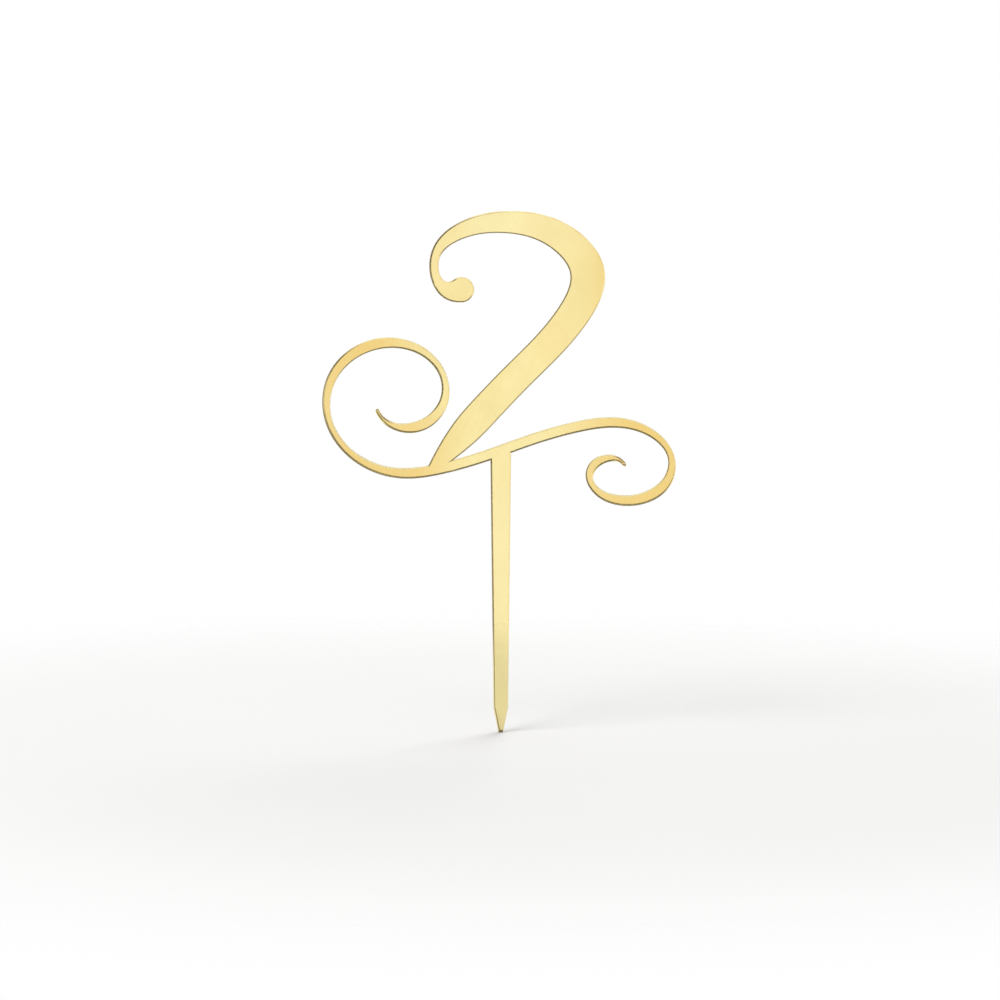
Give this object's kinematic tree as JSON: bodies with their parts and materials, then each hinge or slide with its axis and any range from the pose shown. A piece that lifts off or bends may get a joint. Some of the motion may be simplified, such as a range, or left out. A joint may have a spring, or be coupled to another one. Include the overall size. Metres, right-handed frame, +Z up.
{
  "type": "cake topper",
  "caption": "Flat laser-cut cake topper in gold mirrored acrylic: a script numeral on a scroll flourish, with a tapered stake that pushes into a cake.",
  "frame": {"origin": "middle of the stake's section where it enters the top of the cake, at half the sheet's thickness", "axes": "+Z up along the stake, +X to the right along the numeral as it is read, +Y towards the back; the mirrored face looks along -Y"},
  "size_m": [0.1271, 0.003, 0.188],
  "materials": {
    "gold_acrylic": "polished gold-tinted clear acrylic, laser-cut edges",
    "mirror_metal": "vapour-deposited mirror seen through the acrylic",
    "grey_paint": "matt sprayed protective paint"
  },
  "bodies": {
    "root": {"acrylic_sheet": "gold_acrylic", "mirror_coat": "mirror_metal", "back_paint": "grey_paint"}
  },
  "joints": []
}
